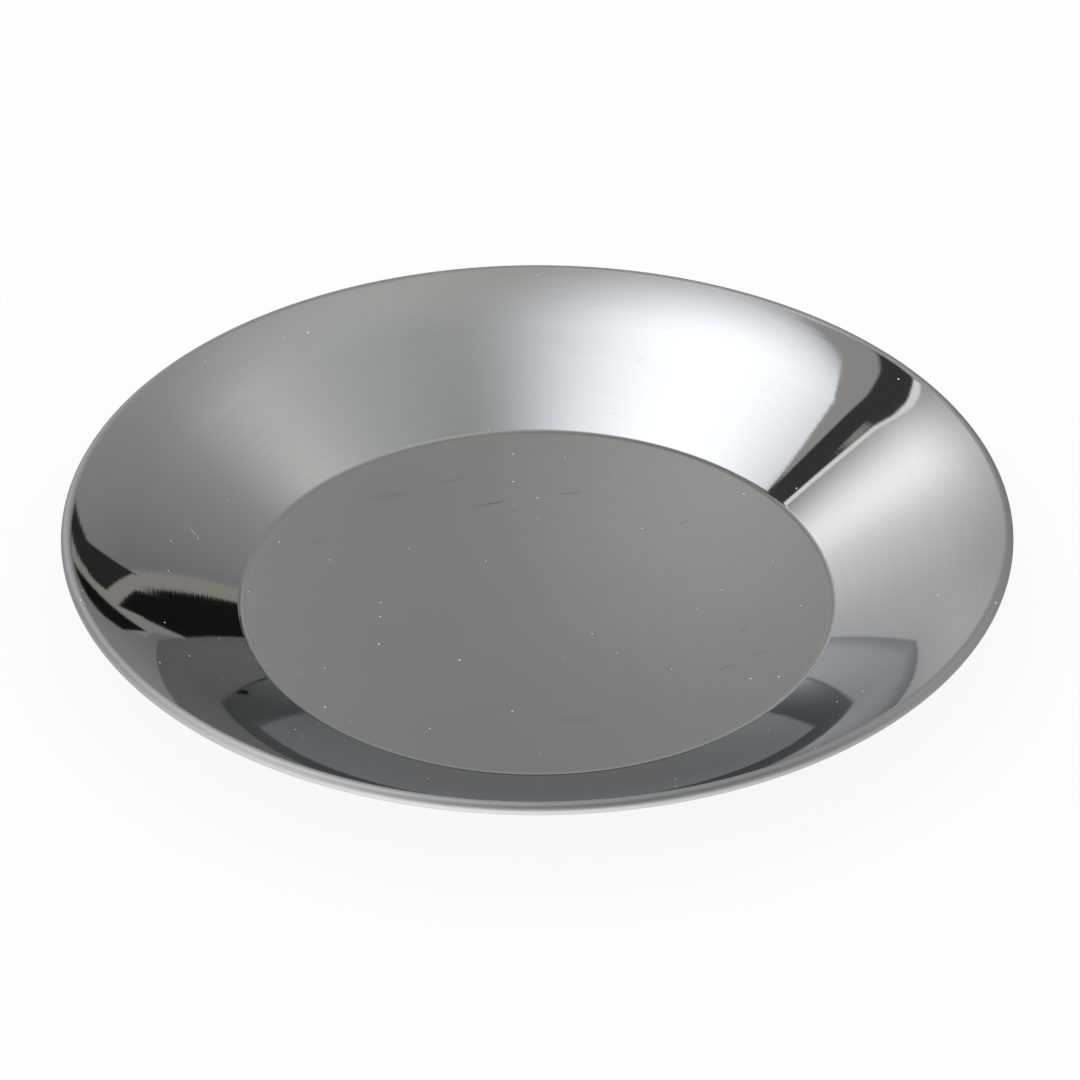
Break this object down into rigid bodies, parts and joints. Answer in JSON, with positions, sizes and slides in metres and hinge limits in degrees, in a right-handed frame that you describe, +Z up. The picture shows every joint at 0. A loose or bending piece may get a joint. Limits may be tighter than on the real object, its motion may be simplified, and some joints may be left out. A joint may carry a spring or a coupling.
{
  "type": "gold pan",
  "caption": "Shallow round steel pan with a wide flat bottom, a sloping conical wall and a wired rolled rim, for washing gravel to find gold.",
  "frame": {"origin": "centre of the underside of the flat bottom, which the pan rests on", "axes": "+Z up along the pan's axis; the pan is round, and the butted ends of the rim wire lie at +Y"},
  "size_m": [0.3048, 0.3048, 0.0309],
  "materials": {
    "polished_steel": "mirror polished in circles, lightly scuffed and dusty",
    "steel_wire": "drawn wire, dull"
  },
  "bodies": {
    "root": {"pan_shell": "polished_steel", "rim_wire": "steel_wire"}
  },
  "joints": []
}
